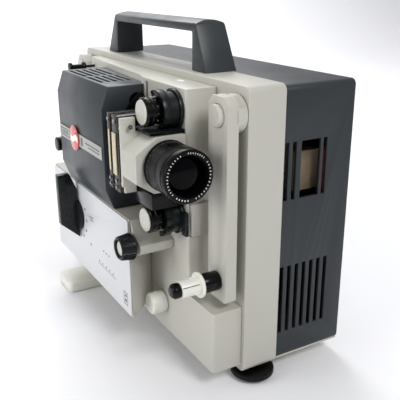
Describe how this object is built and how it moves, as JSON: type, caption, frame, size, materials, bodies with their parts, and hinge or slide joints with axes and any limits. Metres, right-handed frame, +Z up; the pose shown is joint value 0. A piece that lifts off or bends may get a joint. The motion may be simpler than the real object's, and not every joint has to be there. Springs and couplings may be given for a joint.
{
  "type": "film projector",
  "caption": "Portable sound film projector in a light and dark case with carrying handle, lamp house, zoom lens, film gate, sprockets, folding reel arms and levelling foot.",
  "frame": {"origin": "centre of the footprint of the bounding box, on the surface the feet stand on", "axes": "+Z up; -Y is where the lens points; -X is the operator and film side; +X is the dark rear cover"},
  "size_m": [0.1932, 0.354, 0.3051],
  "materials": {
    "black_plastic": "gloss",
    "brass": "satin",
    "charcoal_plastic": "satin",
    "circuit_board": "matte",
    "coil_wrap": "matte",
    "cream_plastic": "satin",
    "dark_shell": "satin",
    "lens_glass": "polished",
    "light_shell": "satin",
    "red_plastic": "gloss",
    "rubber": "matte",
    "silver_trim": "satin",
    "slate_shell": "satin",
    "steel": "satin",
    "white_panel": "satin",
    "white_plastic": "satin"
  },
  "bodies": {
    "chassis": {"main_casing": "light_shell", "rear_cover": "dark_shell", "handle": "charcoal_plastic", "mechanism_deck": "light_shell", "lamp": "lens_glass", "lamp_socket": "cream_plastic", "panel_body": "light_shell", "panel_face": "white_panel", "aperture_plate": "black_plastic", "rear_film_rail": "cream_plastic", "upper_film_guide": "charcoal_plastic", "lower_film_guide": "charcoal_plastic", "rear_left_foot": "rubber", "rear_right_foot": "rubber", "front_right_foot": "rubber", "sprocket_belt": "rubber", "drive_belt": "rubber", "motor": "steel", "transformer_core": "steel", "transformer_coil": "coil_wrap", "circuit_board": "circuit_board", "capacitor": "red_plastic", "loudspeaker": "black_plastic", "mains_inlet": "black_plastic"},
    "lamp_house": {"lamp_house_cover": "slate_shell", "name_stripe": "silver_trim", "round_badge": "red_plastic"},
    "lens_carriage": {"lens_carrier": "light_shell", "pressure_plate": "black_plastic", "front_film_rail": "cream_plastic"},
    "lens": {"lens_tube": "black_plastic", "lens_bezel": "black_plastic", "front_lens": "lens_glass"},
    "zoom": {"zoom_ring": "black_plastic"},
    "front_arm": {"front_reel_arm": "light_shell"},
    "front_button": {"front_arm_button": "light_shell"},
    "front_spindle": {"front_spindle_core": "black_plastic", "front_spindle_sleeve": "white_plastic"},
    "rear_arm": {"rear_reel_arm": "light_shell"},
    "rear_button": {"rear_arm_button": "light_shell"},
    "rear_spindle": {"rear_spindle_core": "black_plastic", "rear_spindle_sleeve": "white_plastic"},
    "motor_rotor": {"motor_shaft": "steel", "cooling_fan": "black_plastic"},
    "shutter_drive": {"shutter_shaft": "steel", "shutter": "black_plastic"},
    "worm_gear": {"worm_wheel": "brass"},
    "upper_drum": {"upper_sprocket": "black_plastic", "upper_sprocket_cap": "silver_trim"},
    "lower_drum": {"lower_sprocket": "black_plastic", "lower_sprocket_cap": "silver_trim"},
    "inching": {"inching_knob": "white_plastic"},
    "function_control": {"function_lever": "charcoal_plastic"},
    "threading_control": {"threading_knob": "charcoal_plastic"},
    "framing_control": {"framing_knob": "black_plastic"},
    "release": {"release_button": "light_shell"},
    "roller": {"film_roller": "black_plastic"},
    "levelling_pad": {"foot_pad": "rubber"},
    "levelling_wheel": {"elevating_wheel": "black_plastic"},
    "stabiliser": {"stabiliser_foot": "white_plastic"}
  },
  "joints": [
    {"name": "lamp_house_lift", "type": "slide", "parent": "chassis", "child": "lamp_house", "axis": [0, 0, 1], "range_m": [0, 0.04]},
    {"name": "gate_open", "type": "slide", "parent": "chassis", "child": "lens_carriage", "axis": [0, -1, 0], "range_m": [0, 0.008], "stiffness_N_per_m": 600, "springref_m": -0.004},
    {"name": "focus", "type": "slide", "parent": "lens_carriage", "child": "lens", "axis": [0, 1, 0], "range_m": [-0.003, 0.002]},
    {"name": "zoom_turn", "type": "hinge", "parent": "lens", "child": "zoom", "pos_m": [-0.05915, -0.135, 0.1975], "axis": [0, 1, 0], "range_deg": [-40, 40]},
    {"name": "front_arm_swing", "type": "hinge", "parent": "chassis", "child": "front_arm", "pos_m": [-0.02465, -0.1535, 0.24], "axis": [-1, 0, 0], "range_deg": [0, 145]},
    {"name": "front_button_press", "type": "slide", "parent": "front_arm", "child": "front_button", "axis": [1, 0, 0], "range_m": [0, 0.0022], "stiffness_N_per_m": 1000},
    {"name": "front_spindle_spin", "type": "hinge", "parent": "front_arm", "child": "front_spindle", "pos_m": [-0.05165, -0.1535, 0.101], "axis": [1, 0, 0], "continuous": true},
    {"name": "rear_arm_swing", "type": "hinge", "parent": "chassis", "child": "rear_arm", "pos_m": [-0.01965, 0.1615, 0.24], "axis": [1, 0, 0], "range_deg": [0, 145]},
    {"name": "rear_button_press", "type": "slide", "parent": "rear_arm", "child": "rear_button", "axis": [1, 0, 0], "range_m": [0, 0.0022], "stiffness_N_per_m": 1000},
    {"name": "rear_spindle_spin", "type": "hinge", "parent": "rear_arm", "child": "rear_spindle", "pos_m": [-0.04565, 0.1615, 0.101], "axis": [1, 0, 0], "continuous": true},
    {"name": "motor_spin", "type": "hinge", "parent": "chassis", "child": "motor_rotor", "pos_m": [0.05635, 0.021, 0.082], "axis": [0, 1, 0], "continuous": true},
    {"name": "shutter_spin", "type": "hinge", "parent": "chassis", "child": "shutter_drive", "pos_m": [-0.02165, -0.069, 0.204], "axis": [0, 1, 0], "continuous": true},
    {"name": "worm_wheel_spin", "type": "hinge", "parent": "chassis", "child": "worm_gear", "pos_m": [-0.02465, -0.091, 0.1879], "axis": [1, 0, 0], "continuous": true},
    {"name": "upper_sprocket_spin", "type": "hinge", "parent": "chassis", "child": "upper_drum", "pos_m": [-0.05665, -0.1034, 0.2379], "axis": [1, 0, 0], "continuous": true},
    {"name": "lower_sprocket_spin", "type": "hinge", "parent": "chassis", "child": "lower_drum", "pos_m": [-0.05665, -0.1034, 0.1462], "axis": [1, 0, 0], "continuous": true},
    {"name": "inching_turn", "type": "hinge", "parent": "chassis", "child": "inching", "pos_m": [-0.04765, -0.073, 0.047], "axis": [1, 0, 0], "continuous": true},
    {"name": "function_turn", "type": "hinge", "parent": "chassis", "child": "function_control", "pos_m": [-0.07965, 0.057, 0.1], "axis": [1, 0, 0], "range_deg": [-60, 60]},
    {"name": "threading_turn", "type": "hinge", "parent": "chassis", "child": "threading_control", "pos_m": [-0.07965, -0.0845, 0.116], "axis": [1, 0, 0], "range_deg": [-90, 90]},
    {"name": "framing_turn", "type": "hinge", "parent": "chassis", "child": "framing_control", "pos_m": [-0.07165, 0.0925, 0.1706], "axis": [1, 0, 0], "range_deg": [-45, 45]},
    {"name": "release_press", "type": "slide", "parent": "chassis", "child": "release", "axis": [0, 1, 0], "range_m": [0, 0.0025], "stiffness_N_per_m": 800},
    {"name": "roller_spin", "type": "hinge", "parent": "chassis", "child": "roller", "pos_m": [-0.04365, 0.121, 0.247], "axis": [1, 0, 0], "continuous": true},
    {"name": "foot_extend", "type": "slide", "parent": "chassis", "child": "levelling_pad", "axis": [0, 0, -1], "range_m": [0, 0.02]},
    {"name": "foot_wheel_turn", "type": "hinge", "parent": "levelling_pad", "child": "levelling_wheel", "pos_m": [0.00535, -0.158, 0.007], "axis": [0, 0, -1], "range_deg": [0, 1800]},
    {"name": "stabiliser_swing", "type": "hinge", "parent": "chassis", "child": "stabiliser", "pos_m": [-0.00165, 0.092, 0.006], "axis": [0, 0, 1], "range_deg": [0, 90]}
  ],
  "couplings": [
    {"joint": "shutter_spin", "follows": "motor_spin", "ratio": 0.54054},
    {"joint": "worm_wheel_spin", "follows": "motor_spin", "ratio": 0.045045},
    {"joint": "upper_sprocket_spin", "follows": "motor_spin", "ratio": 0.045045},
    {"joint": "lower_sprocket_spin", "follows": "motor_spin", "ratio": 0.045045},
    {"joint": "inching_turn", "follows": "motor_spin", "ratio": 0.27027},
    {"joint": "foot_wheel_turn", "follows": "foot_extend", "rad_per_m": 1570.8}
  ]
}
